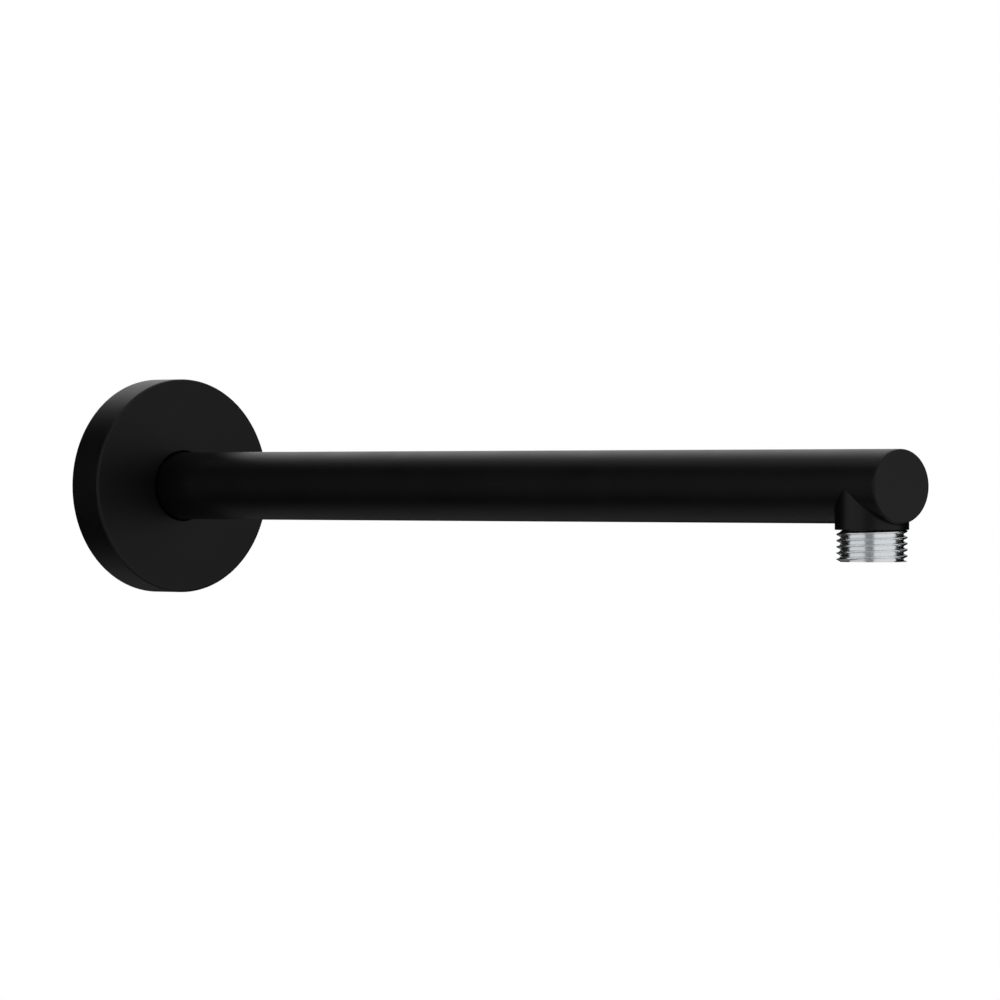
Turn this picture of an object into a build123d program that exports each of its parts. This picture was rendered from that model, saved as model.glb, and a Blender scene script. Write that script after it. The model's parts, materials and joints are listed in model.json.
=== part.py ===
"""Wall-mounted shower arm: a straight round tube with a flat end, a threaded outlet under that end,
and a round cover flange that slides on the tube and hides the wall connection.

Frame: millimetres, +Z up. The wall is the plane y = 0 and the arm points to -Y. The origin is on
the arm's axis in the wall plane, inside the span of the inlet thread.
"""

import os

from build123d import *

# Driving dimensions, in millimetres

# Arm tube, drawn brass
tube_diameter = 22.0
tube_wall = 1.5
tube_rear_inset = 5.0  # rear end of the tube, in front of the wall plane

# Outlet, on an axis parallel to Z
outlet_reach = 350.0  # wall plane to the outlet's axis
boss_inset = 0.05  # boss radius below the tube's, so that the saddle's tips stay under the arm's axis
boss_drop = 1.8  # boss below the tube's underside
boss_wall = 2.4
boss_edge = 0.25
spigot_wall = 1.25  # the outlet nipple's spigot goes up through the boss and the tube's wall
spigot_proud = 0.5  # spigot past the tube's inner wall, into the bore
outlet_thread_length = 9.4

# Pipe thread G 1/2, drawn at its major diameter
thread_diameter = 20.955
thread_chamfer = 0.3

# Inlet nipple, on the arm's axis
inlet_collar = 3.0
inlet_thread_length = 18.0
inlet_plug = 10.0  # part of the inlet nipple inside the tube
inlet_plug_wall = 2.2

# End cap
end_margin = 2.0  # boss edge to the flat end of the arm
cap_head = 1.4
cap_plug_gap = 0.5  # end of the cap's plug to the outlet hole in the tube
cap_edge = 0.5

# Cover flange
flange_diameter = 70.0
flange_depth = 14.0
flange_front_wall = 3.0
flange_rim_wall = 2.5
flange_edge = 0.7
flange_bore_gap = 0.5  # tube to flange bore, all round
flange_bore_edge = 0.2
hub_wall = 2.0

# Rubber ring of square section that grips the tube inside the flange's hub
ring_section = 2.6
ring_clearance = 0.04  # ring to tube and ring to groove floor
ring_side_play = 0.4  # groove width beyond the ring's section, each side
groove_inset = 3.5  # flange face to the groove

# Brazed joints are drawn with the gap that the braze fills
braze_gap = 0.05

# Derived sizes

tube_radius = tube_diameter / 2
tube_inner_radius = tube_radius - tube_wall
plug_radius = tube_inner_radius - braze_gap
thread_radius = thread_diameter / 2

boss_radius = tube_radius - boss_inset
boss_bottom = -(tube_radius + boss_drop)
spigot_hole_radius = boss_radius - boss_wall
spigot_radius = spigot_hole_radius - braze_gap
outlet_bore_radius = spigot_radius - spigot_wall
spigot_top = -(tube_inner_radius - spigot_proud)

end_reach = outlet_reach + boss_radius + end_margin
tube_end_reach = end_reach - cap_head
cap_plug = tube_end_reach - outlet_reach - spigot_hole_radius - cap_plug_gap

inlet_bore_radius = plug_radius - inlet_plug_wall
collar_front = -tube_rear_inset
inlet_thread_start = collar_front + inlet_collar
inlet_thread_end = inlet_thread_start + inlet_thread_length

ring_radius = tube_radius + ring_clearance + ring_section / 2
groove_radius = ring_radius + ring_section / 2 + ring_clearance
groove_width = ring_section + 2 * ring_side_play
flange_radius = flange_diameter / 2
flange_bore_radius = tube_radius + flange_bore_gap
hub_radius = groove_radius + hub_wall
flange_face = -flange_depth
cup_floor = flange_face + flange_front_wall
groove_front = flange_face + groove_inset
groove_rear = groove_front + groove_width
hub_rear = groove_rear + hub_wall

outlet_plane = Plane.XZ.offset(outlet_reach)
outlet_axis = Axis((0, -outlet_reach, 0), (0, 0, 1))

# Arm tube: drawn tube with one round hole in its underside for the outlet
with BuildPart() as arm_tube:
    with BuildSketch(Plane.XZ.offset(tube_rear_inset)):
        Circle(tube_radius)
        Circle(tube_inner_radius, mode=Mode.SUBTRACT)
    extrude(amount=tube_end_reach - tube_rear_inset)
    with BuildSketch(Plane.XY):
        with Locations((0, -outlet_reach)):
            Circle(spigot_hole_radius)
    extrude(amount=-tube_diameter, mode=Mode.SUBTRACT)

# End cap: turned disc with a plug that is brazed into the tube and ground flush
with BuildPart() as end_cap:
    with BuildSketch(Plane.XZ.offset(tube_end_reach)):
        Circle(tube_radius)
    extrude(amount=cap_head)
    chamfer(end_cap.faces().sort_by(Axis.Y)[0].edges(), length=cap_edge)
    with BuildSketch(Plane.XZ.offset(tube_end_reach)):
        Circle(plug_radius)
    extrude(amount=-cap_plug)

# Outlet boss: round collar, coped to a saddle that fits the underside of the tube
with BuildPart() as outlet_boss:
    with BuildSketch(Plane.XY.offset(boss_bottom)):
        with Locations((0, -outlet_reach)):
            Circle(boss_radius)
            Circle(spigot_hole_radius, mode=Mode.SUBTRACT)
    extrude(amount=-boss_bottom)
    with BuildSketch(outlet_plane):
        Circle(tube_radius + braze_gap)
    extrude(amount=boss_radius + end_margin, both=True, mode=Mode.SUBTRACT)
    lower_rim = outlet_boss.faces().sort_by(Axis.Z)[0].edges().sort_by(SortBy.RADIUS)[-1]
    chamfer(lower_rim, length=boss_edge)

# Outlet nipple: turned sleeve with the outlet thread below and the brazed spigot above
with BuildPart() as outlet_nipple:
    with BuildSketch(outlet_plane):
        with BuildLine():
            Polyline(
                (outlet_bore_radius, spigot_top),
                (spigot_radius, spigot_top),
                (spigot_radius, boss_bottom),
                (thread_radius, boss_bottom),
                (thread_radius, boss_bottom - outlet_thread_length),
                (outlet_bore_radius, boss_bottom - outlet_thread_length),
                close=True,
            )
        make_face()
    revolve(axis=outlet_axis)
    lower_rim = outlet_nipple.faces().sort_by(Axis.Z)[0].edges().sort_by(SortBy.RADIUS)[-1]
    chamfer(lower_rim, length=thread_chamfer)

# Inlet nipple: turned sleeve with a plug in the tube, a collar against its rear end and the wall thread
with BuildPart() as inlet_nipple:
    with BuildSketch(Plane.XY):
        with BuildLine():
            Polyline(
                (inlet_bore_radius, collar_front - inlet_plug),
                (plug_radius, collar_front - inlet_plug),
                (plug_radius, collar_front),
                (tube_radius, collar_front),
                (tube_radius, inlet_thread_start),
                (thread_radius, inlet_thread_start),
                (thread_radius, inlet_thread_end),
                (inlet_bore_radius, inlet_thread_end),
                close=True,
            )
        make_face()
    revolve(axis=Axis.Y)
    rear_rim = inlet_nipple.faces().sort_by(Axis.Y)[-1].edges().sort_by(SortBy.RADIUS)[-1]
    chamfer(rear_rim, length=thread_chamfer)

# Cover flange: round cup with a hub that carries the rubber ring in a groove
with BuildPart() as wall_flange:
    with BuildSketch(Plane.XY):
        with BuildLine():
            Polyline(
                (flange_bore_radius, flange_face),
                (flange_radius, flange_face),
                (flange_radius, 0),
                (flange_radius - flange_rim_wall, 0),
                (flange_radius - flange_rim_wall, cup_floor),
                (hub_radius, cup_floor),
                (hub_radius, hub_rear),
                (flange_bore_radius, hub_rear),
                (flange_bore_radius, groove_rear),
                (groove_radius, groove_rear),
                (groove_radius, groove_front),
                (flange_bore_radius, groove_front),
                close=True,
            )
        make_face()
    revolve(axis=Axis.Y)
    face_edges = wall_flange.faces().sort_by(Axis.Y)[0].edges().sort_by(SortBy.RADIUS)
    fillet(face_edges[-1], radius=flange_edge)
    chamfer(face_edges[0], length=flange_bore_edge)

# Rubber ring: square section, seated in the hub's groove and on the tube
with BuildPart() as flange_ring:
    with BuildSketch(Plane.XY):
        with Locations((ring_radius, (groove_front + groove_rear) / 2)):
            Rectangle(ring_section, ring_section)
    revolve(axis=Axis.Y)

pieces = {
    "arm_tube": arm_tube,
    "end_cap": end_cap,
    "outlet_boss": outlet_boss,
    "outlet_nipple": outlet_nipple,
    "inlet_nipple": inlet_nipple,
    "wall_flange": wall_flange,
    "flange_ring": flange_ring,
}
os.makedirs("parts", exist_ok=True)
for name, piece in pieces.items():
    piece.part.label = name
    export_step(piece.part, f"parts/{name}.step")
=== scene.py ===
import cmath
import json
import math

import bmesh
import bpy
import numpy as np
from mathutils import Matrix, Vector


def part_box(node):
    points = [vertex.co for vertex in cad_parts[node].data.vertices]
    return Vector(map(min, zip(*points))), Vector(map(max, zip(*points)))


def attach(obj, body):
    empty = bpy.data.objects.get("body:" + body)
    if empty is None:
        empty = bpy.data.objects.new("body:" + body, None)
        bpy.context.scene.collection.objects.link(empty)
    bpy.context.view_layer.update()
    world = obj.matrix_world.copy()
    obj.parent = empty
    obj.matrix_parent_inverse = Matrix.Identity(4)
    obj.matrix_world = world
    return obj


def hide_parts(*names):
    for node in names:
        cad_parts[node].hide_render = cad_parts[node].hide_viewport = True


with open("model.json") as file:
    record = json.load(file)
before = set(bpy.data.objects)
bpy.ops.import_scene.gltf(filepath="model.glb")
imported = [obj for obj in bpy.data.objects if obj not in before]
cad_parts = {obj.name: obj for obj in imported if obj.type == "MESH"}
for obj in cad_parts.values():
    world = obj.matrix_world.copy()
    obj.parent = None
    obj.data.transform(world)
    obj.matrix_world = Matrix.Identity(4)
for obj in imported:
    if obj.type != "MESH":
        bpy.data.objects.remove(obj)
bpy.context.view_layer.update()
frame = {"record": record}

# Arm tube
# A straight length of drawn brass tube, cut square at both ends, with a round hole drilled in its
# underside for the outlet. It is powder coated matte black together with the pieces brazed to it.
MM = 0.001
AROUND = 192  # facets round a turned piece
TURN = np.linspace(0, 2 * np.pi, AROUND + 1)  # angles of the outlines round it
ARC_STEPS = 6  # facets over a rounded edge
HOLD = 0.06 * MM  # a line of points this close to an edge keeps the face beside it flat
MERGE = 0.0001 * MM  # points closer than this become one
SHARP = math.radians(35)  # edges that turn more than this stay crisp
GRAIN_DETAIL = 2.0
DRIFT_DETAIL = 4.0
DRIFT_SPAN = (0.3, 0.7)  # most values of the slow noise lie between these

tube_low, tube_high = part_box("arm_tube")
tube_radius = tube_high.x
tube_rear = tube_high.y
tube_end = tube_low.y
tube_wall = 1.5 * MM
tube_bore = tube_radius - tube_wall
tube_cut_edge = 0.12 * MM
outlet_mount = next(mount for mount in frame["record"]["mounts"] if mount["name"] == "outlet_thread")
outlet_along = outlet_mount["pos_m"][1]
outlet_hole = 8.55 * MM
outlet_clear = 2 * MM  # the long faces of the tube stop this far from the hole
drill_length = 2 * tube_radius


def rounded(corners, closed=True):
    """Outline of a turned piece as radius + along * 1j, from corners of (radius, along, edge round)."""
    places = [complex(radius, along) for radius, along, _ in corners]
    points = []
    for index, (_, _, edge) in enumerate(corners):
        here = places[index]
        if edge == 0:
            points.append(here)
            continue
        back = places[index - 1] - here
        ahead = places[(index + 1) % len(places)] - here
        back /= abs(back)
        ahead /= abs(ahead)
        half = abs(cmath.phase(ahead / back)) / 2
        centre = here + (back + ahead) / abs(back + ahead) * edge / math.sin(half)
        start = here + back * edge / math.tan(half) - centre
        sweep = cmath.phase((here + ahead * edge / math.tan(half) - centre) / start)
        turns = [sweep * step / ARC_STEPS for step in range(ARC_STEPS + 1)]
        points += [centre + start * cmath.rect(1, turn) for turn in turns]
    outline = []
    for point, following in zip(points, points[1:] + points[:1]):
        outline.append(point)
        run = following - point
        if abs(run) > 4 * HOLD:
            inward = run / abs(run) * HOLD
            outline += [point + inward, following - inward]
    return outline if closed else outline[: outline.index(points[-1]) + 1]


def on_arm(radius, angle, along):
    """Points round the arm's axis; the angle turns right-handed about +Y, from +X."""
    return np.stack(np.broadcast_arrays(radius * np.cos(angle), along, -radius * np.sin(angle)), axis=-1)


def on_outlet(radius, angle, along):
    """Points round the outlet's axis; the angle turns right-handed about +Z, from +X."""
    across = radius * np.cos(angle)
    lengthways = outlet_along + radius * np.sin(angle)
    return np.stack(np.broadcast_arrays(across, lengthways, along), axis=-1)


def skin(name, sections, place):
    """Closed mesh through outlines that follow one another round an axis; the last lies on the first."""
    sections = np.array(sections)
    turns, count = sections.shape
    points = place(sections.real, TURN[:, None], sections.imag).reshape(-1, 3)
    corner = np.arange(turns * count).reshape(turns, count)
    beside = np.roll(corner, -1, axis=1)
    faces = np.stack([corner[:-1], beside[:-1], beside[1:], corner[1:]], axis=-1).reshape(-1, 4)
    mesh = bpy.data.meshes.new(name)
    mesh.from_pydata(points.tolist(), [], faces.tolist())
    shape = bmesh.new()
    shape.from_mesh(mesh)
    bmesh.ops.remove_doubles(shape, verts=shape.verts, dist=MERGE)
    bmesh.ops.delete(shape, geom=[edge for edge in shape.edges if not edge.link_faces], context="EDGES")
    bmesh.ops.recalc_face_normals(shape, faces=shape.faces)
    shape.to_mesh(mesh)
    shape.free()
    piece = bpy.data.objects.new(name, mesh)
    bpy.context.scene.collection.objects.link(piece)
    return piece


def turned(name, outline, place):
    """Piece with the same outline all the way round."""
    return skin(name, [outline] * len(TURN), place)


def dress(piece, material):
    """Smooth shading with crisp edges, and the finish."""
    piece.data.shade_smooth()
    piece.data.set_sharp_from_angle(angle=SHARP)
    piece.data.materials.clear()
    piece.data.materials.append(material)


surface_grain = bpy.data.node_groups.new("surface_grain", "ShaderNodeTree")
for socket in ("Grain Scale", "Drift Scale"):
    surface_grain.interface.new_socket(socket, in_out="INPUT", socket_type="NodeSocketFloat")
for socket in ("Grain", "Drift"):
    surface_grain.interface.new_socket(socket, in_out="OUTPUT", socket_type="NodeSocketFloat")
grain_in = surface_grain.nodes.new("NodeGroupInput")
grain_out = surface_grain.nodes.new("NodeGroupOutput")
grain_place = surface_grain.nodes.new("ShaderNodeTexCoord")
for noise_name, detail in (("Grain", GRAIN_DETAIL), ("Drift", DRIFT_DETAIL)):
    noise = surface_grain.nodes.new("ShaderNodeTexNoise")
    noise.inputs["Detail"].default_value = detail
    surface_grain.links.new(grain_place.outputs["Object"], noise.inputs["Vector"])
    surface_grain.links.new(grain_in.outputs[noise_name + " Scale"], noise.inputs["Scale"])
    surface_grain.links.new(noise.outputs["Fac"], grain_out.inputs[noise_name])


def make_finish(name, colours, roughness, grain_size, grain_depth, drift_size):
    """Finish whose colour and roughness drift slowly between two values, with a fine raised grain."""
    material = bpy.data.materials.new(name)
    material.use_nodes = True
    nodes, links = material.node_tree.nodes, material.node_tree.links
    shader = nodes["Principled BSDF"]
    grain = nodes.new("ShaderNodeGroup")
    grain.node_tree = surface_grain
    grain.inputs["Grain Scale"].default_value = 1 / grain_size
    grain.inputs["Drift Scale"].default_value = 1 / drift_size
    tint = nodes.new("ShaderNodeMix")
    tint.data_type = "RGBA"
    for end, colour in zip(("A", "B"), colours):
        next(s for s in tint.inputs if s.name == end and s.type == "RGBA").default_value = (*colour, 1)
    links.new(grain.outputs["Drift"], tint.inputs["Factor"])
    links.new(next(s for s in tint.outputs if s.type == "RGBA"), shader.inputs["Base Color"])
    spread = nodes.new("ShaderNodeMapRange")
    spread.inputs["From Min"].default_value, spread.inputs["From Max"].default_value = DRIFT_SPAN
    spread.inputs["To Min"].default_value, spread.inputs["To Max"].default_value = roughness
    links.new(grain.outputs["Drift"], spread.inputs["Value"])
    links.new(spread.outputs["Result"], shader.inputs["Roughness"])
    relief = nodes.new("ShaderNodeBump")
    relief.inputs["Distance"].default_value = grain_depth
    links.new(grain.outputs["Grain"], relief.inputs["Height"])
    links.new(relief.outputs["Normal"], shader.inputs["Normal"])
    return material, shader


black_coat, coat_shader = make_finish(
    "black_coat",
    colours=((0.0018, 0.0018, 0.0019), (0.0026, 0.0026, 0.0027)),
    roughness=(0.35, 0.40),
    grain_size=0.35 * MM,
    grain_depth=0.006 * MM,
    drift_size=18 * MM,
)
coat_shader.inputs["Specular IOR Level"].default_value = 0.275
tube_outline = rounded([
    (tube_bore, tube_rear, tube_cut_edge),
    (tube_radius, tube_rear, tube_cut_edge),
    (tube_radius, outlet_along + outlet_hole + outlet_clear, 0),
    (tube_radius, outlet_along - outlet_hole - outlet_clear, 0),
    (tube_radius, tube_end, tube_cut_edge),
    (tube_bore, tube_end, tube_cut_edge),
    (tube_bore, outlet_along - outlet_hole - outlet_clear, 0),
    (tube_bore, outlet_along + outlet_hole + outlet_clear, 0),
])
arm_tube = turned("tube", tube_outline, on_arm)
drill_outline = [
    complex(0, -drill_length),
    complex(outlet_hole, -drill_length),
    complex(outlet_hole, 0),
    complex(0, 0),
]
drill = turned("drill", drill_outline, on_outlet)
drilled = arm_tube.modifiers.new("outlet_hole", "BOOLEAN")
drilled.object = drill
drilled.solver = "EXACT"
drilled_tube = arm_tube.evaluated_get(bpy.context.evaluated_depsgraph_get())
arm_tube.data = bpy.data.meshes.new_from_object(drilled_tube)
arm_tube.modifiers.clear()
bpy.data.objects.remove(drill)
dress(arm_tube, black_coat)
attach(arm_tube, "arm")
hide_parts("arm_tube")

# End cap
# A turned brass plug with a flat round head that closes the free end of the tube.
# It is brazed in, flush with the tube, and coated with it, so only a hairline shows where they meet.
cap_low, cap_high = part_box("end_cap")
cap_radius = cap_high.x
cap_face = cap_low.y
joint_gap = 0.05 * MM  # filled by braze or solder
plug_radius = tube_bore - joint_gap
cap_face_edge = 0.6 * MM
cap_seam_edge = 0.12 * MM
cap_outline = rounded([
    (0, cap_face, 0),
    (cap_radius, cap_face, cap_face_edge),
    (cap_radius, tube_end, cap_seam_edge),
    (plug_radius, tube_end, cap_seam_edge),
    (plug_radius, cap_high.y, cap_seam_edge),
    (0, cap_high.y, 0),
])
end_cap = turned("end_disc", cap_outline, on_arm)
dress(end_cap, black_coat)
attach(end_cap, "arm")
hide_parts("end_cap")

# Outlet boss
# A short turned brass ring, coped on top so that it sits astride the underside of the tube.
# It is brazed round the tube's hole, with a small hollow run of braze along the joint, and coated with it.
boss_low, boss_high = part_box("outlet_boss")
boss_radius = boss_high.x
boss_foot = boss_low.z
boss_foot_edge = 0.25 * MM
boss_rows = 8  # points across the cope
braze_round = 0.9 * MM
boss_foot_outline = rounded([
    (outlet_hole, boss_foot, 0),
    (boss_radius, boss_foot, boss_foot_edge),
    (boss_radius, boss_foot + 3 * boss_foot_edge, 0),
], closed=False)


def boss_section(angle):
    """Section of the boss through its axis: foot, outer wall, braze, the cope on the tube, inner wall."""
    share = math.cos(angle) ** 2  # of a squared radius, what lies across the tube
    corner_slope = boss_radius * share / math.sqrt(tube_radius**2 - boss_radius**2 * share)
    opening = math.atan2(1, corner_slope)
    leg = braze_round * math.tan(opening / 2)
    radii = np.linspace(boss_radius + leg * math.sin(opening), outlet_hole, boss_rows)
    cope = -np.sqrt(tube_radius**2 - radii**2 * share)
    lip = radii[0] + 1j * cope[0]
    lip_slope = radii[0] * share / -cope[0]
    corner = boss_radius + 1j * (cope[0] - lip_slope * (radii[0] - boss_radius))
    step = np.linspace(0, 1, ARC_STEPS + 1)[:-1]
    braze = (1 - step) ** 2 * (corner - 1j * leg) + 2 * step * (1 - step) * corner + step**2 * lip
    inner_hold = [outlet_hole + 1j * (cope[-1] - HOLD), outlet_hole + 1j * (boss_foot + HOLD)]
    return boss_foot_outline + list(braze) + list(radii + 1j * cope) + inner_hold


boss = skin("coped_boss", [boss_section(angle) for angle in TURN], on_outlet)
dress(boss, black_coat)
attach(boss, "arm")
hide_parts("outlet_boss")

# Outlet nipple
# A turned brass nipple, nickel and chrome plated, with a half-inch pipe thread for the shower head.
# Its plain spigot passes through the boss into the tube and is soldered there after coating.
PITCH = 1.814 * MM
FLANK = math.radians(27.5)  # half the angle of a groove
THREAD_DEPTH = 0.640327 * PITCH  # standard shares of a pipe thread's pitch
CREST_ROUND = 0.137329 * PITCH
CREST_STEPS = 6
FLANK_STEPS = 3
SPARE_TEETH = 2  # made past each end of a thread, then cut off
RUN_OUT = 0.48 * MM  # a groove this near to the shoulder is cut on up to it
RUN_OUT_DEPTH = 0.6 * MM  # the deepest that this cut goes under the root
RUN_OUT_RISE = 30  # how steeply this cut ends where the groove gets further off

nipple_low, nipple_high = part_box("outlet_nipple")
thread_radius = nipple_high.x
outlet_spigot = outlet_hole - joint_gap
outlet_bore = 7.25 * MM
outlet_crest = -21.34 * MM  # height of a crest, at the angle below
outlet_crest_angle = math.radians(140.6)
thread_end_edge = 0.3 * MM
nipple_edge = 0.15 * MM


def thread_tooth():
    """One pitch of a pipe thread from crest to crest, as (along, depth under the crest) points."""
    arc = np.linspace(0, math.pi / 2 - FLANK, CREST_STEPS // 2 + 1)
    crest = np.stack([CREST_ROUND * np.sin(arc), CREST_ROUND * (1 - np.cos(arc))], axis=-1)
    root = np.array([PITCH / 2, THREAD_DEPTH]) - crest[::-1]
    flank = np.linspace(crest[-1], root[0], FLANK_STEPS + 1)[1:-1]
    falling = np.concatenate([crest, flank, root])
    rising = falling[-2:0:-1] * [-1, 1] + [PITCH, 0]
    return np.concatenate([falling, rising])


def run_out(along, first_root):
    """Radius of the cut that carries the groove beside the shoulder on up to it."""
    root = thread_radius - THREAD_DEPTH
    rise = RUN_OUT_RISE * max(0, first_root - RUN_OUT)
    return np.maximum(root + (along - first_root) / math.tan(FLANK) + rise, root - RUN_OUT_DEPTH)


def thread_side(angle, shoulder, end, crest, crest_angle):
    """Side of a right-hand thread at one angle, from its shoulder to its cut end."""
    way = math.copysign(1, end - shoulder)
    length = abs(end - shoulder)
    tooth = thread_tooth()
    teeth = math.ceil(length / PITCH) + 2 * SPARE_TEETH
    start = way * (crest - shoulder - PITCH * crest_angle / (2 * math.pi)) % PITCH - SPARE_TEETH * PITCH
    climb = way * PITCH * angle / (2 * math.pi)
    along = np.concatenate([tooth[:, 0] + start + PITCH * index for index in range(teeth)]) + climb
    radius = thread_radius - np.tile(tooth[:, 1], teeth)
    first_root = (start + climb + PITCH / 2) % PITCH
    radius = np.where(along < first_root, np.minimum(radius, run_out(along, first_root)), radius)
    ends = np.interp([0, length], along, radius)
    radius = np.where(along < 0, ends[0], np.where(along > length, ends[1], radius))
    along = np.clip(along, 0, length)
    radius = np.minimum(radius, thread_radius - thread_end_edge + length - along)
    return list(radius + 1j * (shoulder + way * along))


bright_plate, plate_shader = make_finish(
    "bright_plate",
    colours=((0.938, 0.963, 0.981), (0.96, 0.982, 0.997)),
    roughness=(0.16, 0.22),
    grain_size=0.4 * MM,
    grain_depth=0.0008 * MM,
    drift_size=6 * MM,
)
plate_shader.inputs["Metallic"].default_value = 1.0
outlet_core = rounded([
    (thread_radius - THREAD_DEPTH - thread_end_edge, nipple_low.z, 0),
    (outlet_bore, nipple_low.z, nipple_edge),
    (outlet_bore, nipple_high.z, nipple_edge),
    (outlet_spigot, nipple_high.z, nipple_edge),
    (outlet_spigot, boss_foot, 0),
], closed=False)
outlet_sections = [
    outlet_core + thread_side(angle, boss_foot, nipple_low.z, outlet_crest, outlet_crest_angle)
    for angle in TURN
]
outlet_nipple = skin("shower_thread", outlet_sections, on_outlet)
dress(outlet_nipple, bright_plate)
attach(outlet_nipple, "arm")
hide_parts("outlet_nipple")

# Inlet nipple
# The plated brass nipple at the wall end, with the pipe thread that screws into the fitting in the wall.
# Its plug is soldered into the tube, and a plain collar of the tube's own diameter stops it there.
inlet_low, inlet_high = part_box("inlet_nipple")
inlet_bore = 7.25 * MM
inlet_shoulder = -2 * MM
inlet_core = rounded([
    (thread_radius - THREAD_DEPTH - thread_end_edge, inlet_high.y, 0),
    (inlet_bore, inlet_high.y, nipple_edge),
    (inlet_bore, inlet_low.y, nipple_edge),
    (plug_radius, inlet_low.y, nipple_edge),
    (plug_radius, tube_rear, nipple_edge),
    (tube_radius, tube_rear, nipple_edge),
    (tube_radius, inlet_shoulder, nipple_edge),
    (thread_radius, inlet_shoulder, 0),
], closed=False)
inlet_sections = [
    inlet_core + thread_side(angle, inlet_shoulder, inlet_high.y, inlet_high.y, 0)
    for angle in TURN
]
inlet_nipple = skin("wall_thread", inlet_sections, on_arm)
dress(inlet_nipple, bright_plate)
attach(inlet_nipple, "arm")
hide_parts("inlet_nipple")

# Rubber ring
# A moulded rubber ring in the groove inside the flange's hub.
# It grips the tube, so that the flange stays where it is pushed, and the flange turns on it.
ring_low, ring_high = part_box("flange_ring")
ring_edge = 0.4 * MM
ring_clearance = 0.04 * MM
ring_bore = tube_radius + ring_clearance
ring_outline = rounded([
    (ring_bore, ring_low.y, ring_edge),
    (ring_high.x, ring_low.y, ring_edge),
    (ring_high.x, ring_high.y, ring_edge),
    (ring_bore, ring_high.y, ring_edge),
])
ring_rubber, _ = make_finish(
    "ring_rubber",
    colours=((0.010, 0.010, 0.010), (0.018, 0.018, 0.018)),
    roughness=(0.62, 0.75),
    grain_size=0.15 * MM,
    grain_depth=0.01 * MM,
    drift_size=4 * MM,
)
ring = turned("grip_ring", ring_outline, on_arm)
dress(ring, ring_rubber)
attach(ring, "ring")
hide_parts("flange_ring")

# Cover flange
# A cup turned from brass that slides along the tube to the wall and hides the hole and the nipple there.
# Its hub holds the rubber ring, and it is coated matte black like the arm.
flange_low, flange_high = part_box("wall_flange")
flange_radius = flange_high.x
flange_face = flange_low.y
flange_back = flange_high.y
flange_front_wall = 3 * MM
flange_rim_wall = 2.5 * MM
flange_bore_gap = 0.5 * MM
groove_side_play = 0.4 * MM
hub_wall = 2 * MM
flange_floor = flange_face + flange_front_wall
flange_rim_bore = flange_radius - flange_rim_wall
flange_bore = tube_radius + flange_bore_gap
groove_radius = ring_high.x + ring_clearance
groove_front = ring_low.y - groove_side_play
groove_rear = ring_high.y + groove_side_play
hub_radius = groove_radius + hub_wall
hub_rear = groove_rear + hub_wall
flange_face_edge = 0.7 * MM
flange_floor_round = 1.2 * MM
flange_edge = 0.2 * MM
groove_edge = 0.05 * MM
flange_outline = rounded([
    (flange_bore, flange_face, flange_edge),
    (flange_radius, flange_face, flange_face_edge),
    (flange_radius, flange_back, flange_edge),
    (flange_rim_bore, flange_back, flange_edge),
    (flange_rim_bore, flange_floor, flange_floor_round),
    (hub_radius, flange_floor, flange_floor_round),
    (hub_radius, hub_rear, flange_edge),
    (flange_bore, hub_rear, flange_edge),
    (flange_bore, groove_rear, groove_edge),
    (groove_radius, groove_rear, groove_edge),
    (groove_radius, groove_front, groove_edge),
    (flange_bore, groove_front, groove_edge),
])
flange = turned("cover_flange", flange_outline, on_arm)
dress(flange, black_coat)
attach(flange, "flange")
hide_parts("wall_flange")

# Floor
# A plain pale floor, as far below the arm as the floor under a fitted one.
# Its paint shows pale to the camera, and throws back on the arm only the light that falls on it.
floor_depth = 2.1
floor_radius = 3.0
floor_colour = (0.8, 0.8, 0.8, 1)
floor_shown = (0.85, 0.85, 0.85, 1)
floor_roughness = 0.8
arm_middle = Vector((0, outlet_along / 2, 0))
floor_mesh = bpy.data.meshes.new("floor")
floor_shape = bmesh.new()
bmesh.ops.create_circle(floor_shape, cap_ends=True, segments=AROUND, radius=floor_radius)
floor_shape.to_mesh(floor_mesh)
floor_shape.free()
floor = bpy.data.objects.new("floor", floor_mesh)
floor.location = arm_middle - Vector((0, 0, floor_depth))
bpy.context.scene.collection.objects.link(floor)
floor_paint = bpy.data.materials.new("floor_paint")
floor_paint.use_nodes = True
floor_nodes, floor_links = floor_paint.node_tree.nodes, floor_paint.node_tree.links
floor_shader = floor_nodes["Principled BSDF"]
floor_shader.inputs["Base Color"].default_value = floor_colour
floor_shader.inputs["Roughness"].default_value = floor_roughness
floor_shader.inputs["Emission Color"].default_value = floor_shown
floor_ray = floor_nodes.new("ShaderNodeLightPath")
floor_links.new(floor_ray.outputs["Is Camera Ray"], floor_shader.inputs["Emission Strength"])
floor_mesh.materials.append(floor_paint)

# Studio light
# Soft boxes left, right, overhead and high behind the arm, and weak ones for the front and the underside.
# The room is dark. Its white backdrop shows to the camera on every side, and the coat and the plating
# mirror only the part of it that is lit, behind the arm and a little above it.
box_radiance = 0.71
backdrop_middle = (30, 24)  # azimuth and elevation of the lit part
backdrop_lit = 11  # degrees from there that are fully lit
backdrop_dark = 28  # degrees from there where the light has faded out


def heading(azimuth, elevation):
    """Direction from the arm, with the azimuth in degrees from the wall's side, +Y, towards +X."""
    turn, rise = math.radians(azimuth), math.radians(elevation)
    return Vector((math.sin(turn) * math.cos(rise), math.cos(turn) * math.cos(rise), math.sin(rise)))


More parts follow.
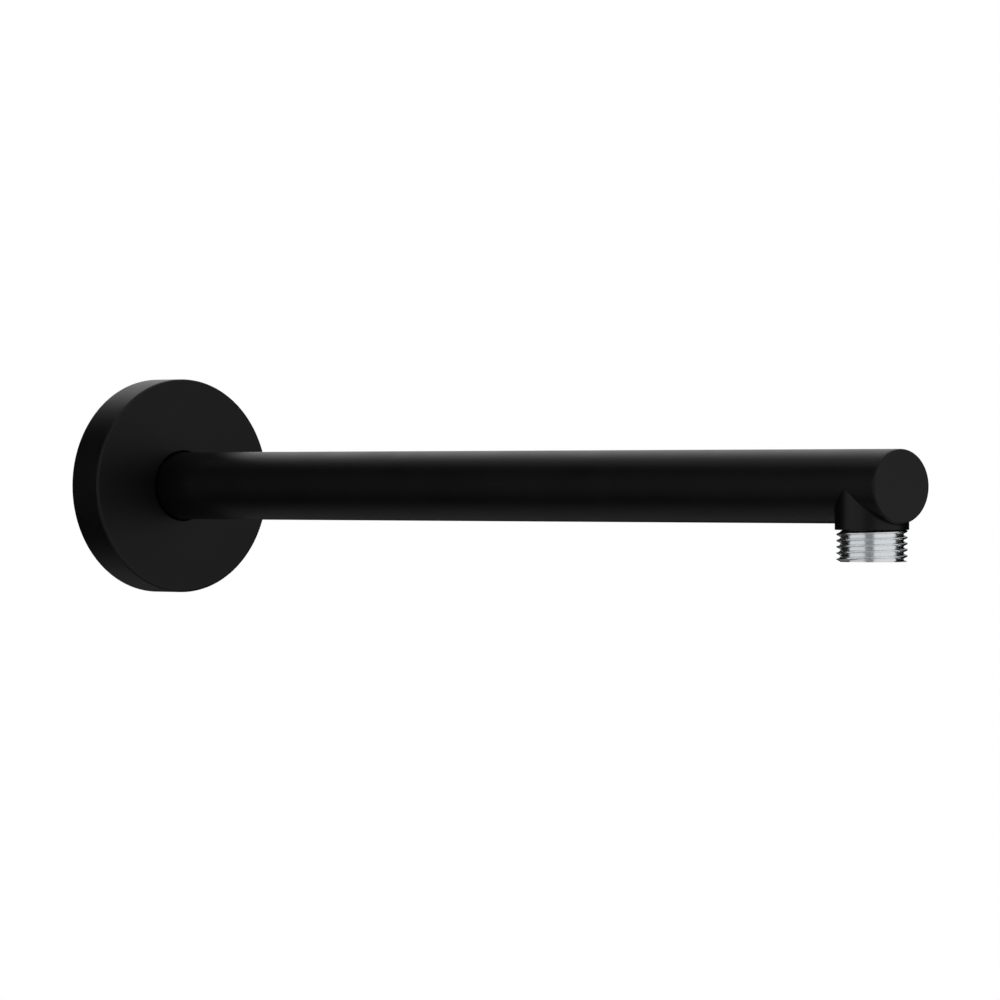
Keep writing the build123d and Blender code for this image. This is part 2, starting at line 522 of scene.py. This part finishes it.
def soft_box(name, azimuth, elevation, distance, width, height, radiance=box_radiance):
    """Rectangular lamp that faces the middle of the arm and gives that radiance."""
    light = bpy.data.lights.new(name, "AREA")
    light.shape = "RECTANGLE"
    light.size = width
    light.size_y = height
    light.energy = radiance * math.pi * width * height
    lamp = bpy.data.objects.new(name, light)
    way = heading(azimuth, elevation)
    lamp.location = arm_middle + way * distance
    lamp.rotation_euler = way.to_track_quat("Z", "Y").to_euler()
    lamp.visible_camera = False
    bpy.context.scene.collection.objects.link(lamp)


soft_box("left_box", azimuth=278.5, elevation=4, distance=2.5, width=3.2, height=3.7, radiance=0.66)
soft_box("right_box", azimuth=171, elevation=0, distance=1.0, width=1.7, height=1.8)
soft_box("over_box", azimuth=180, elevation=78, distance=2.0, width=2.8, height=2.8)
soft_box("top_box", azimuth=330, elevation=55, distance=4.0, width=1.65, height=1.65)
soft_box("rear_box", azimuth=80, elevation=45, distance=2.5, width=2.4, height=1.8)
soft_box("front_fill", azimuth=232, elevation=0, distance=3.0, width=1.8, height=4.0, radiance=0.22)
soft_box("low_fill", azimuth=19, elevation=-27, distance=2.5, width=1.5, height=0.9, radiance=0.1)

world = bpy.data.worlds.new("studio")
bpy.context.scene.world = world
world.use_nodes = True
world.cycles.sampling_method = "NONE"
world_nodes, world_links = world.node_tree.nodes, world.node_tree.links


def combined(operation, first, second):
    """Two of the backdrop's values, joined by a math node."""
    node = world_nodes.new("ShaderNodeMath")
    node.operation = operation
    world_links.new(first, node.inputs[0])
    world_links.new(second, node.inputs[1])
    return node.outputs["Value"]


ray = world_nodes.new("ShaderNodeLightPath")
way_out = world_nodes.new("ShaderNodeTexCoord")
towards_lit = world_nodes.new("ShaderNodeVectorMath")
towards_lit.operation = "DOT_PRODUCT"
towards_lit.inputs[1].default_value = heading(*backdrop_middle)
world_links.new(way_out.outputs["Generated"], towards_lit.inputs[0])
lit_part = world_nodes.new("ShaderNodeMapRange")
lit_part.interpolation_type = "SMOOTHSTEP"
lit_part.inputs["From Min"].default_value = math.cos(math.radians(backdrop_dark))
lit_part.inputs["From Max"].default_value = math.cos(math.radians(backdrop_lit))
world_links.new(towards_lit.outputs["Value"], lit_part.inputs["Value"])
mirrored = combined("MULTIPLY", ray.outputs["Is Glossy Ray"], lit_part.outputs["Result"])
backdrop = world_nodes["Background"]
backdrop.inputs["Color"].default_value = (1, 1, 1, 1)
world_links.new(combined("MAXIMUM", ray.outputs["Is Camera Ray"], mirrored), backdrop.inputs["Strength"])
bpy.context.scene.view_settings.view_transform = "Standard"

# Camera
# A long lens more than two metres off, to the left of the arm's free end.
# It stands level with the tube and looks back along the arm towards the wall.
camera_place = (-1.46678, -1.96328, 0.00177)
camera_yaw = math.radians(39.405)
camera_pitch = math.radians(-0.152)
camera_lens = 266.93
camera_sensor = 36
camera_far = 50
camera_data = bpy.data.cameras.new("camera")
camera_data.lens = camera_lens
camera_data.sensor_width = camera_sensor
camera_data.clip_end = camera_far
camera = bpy.data.objects.new("camera", camera_data)
camera.location = camera_place
camera.rotation_euler = (math.pi / 2 + camera_pitch, 0, -camera_yaw)
bpy.context.scene.collection.objects.link(camera)
bpy.context.scene.camera = camera
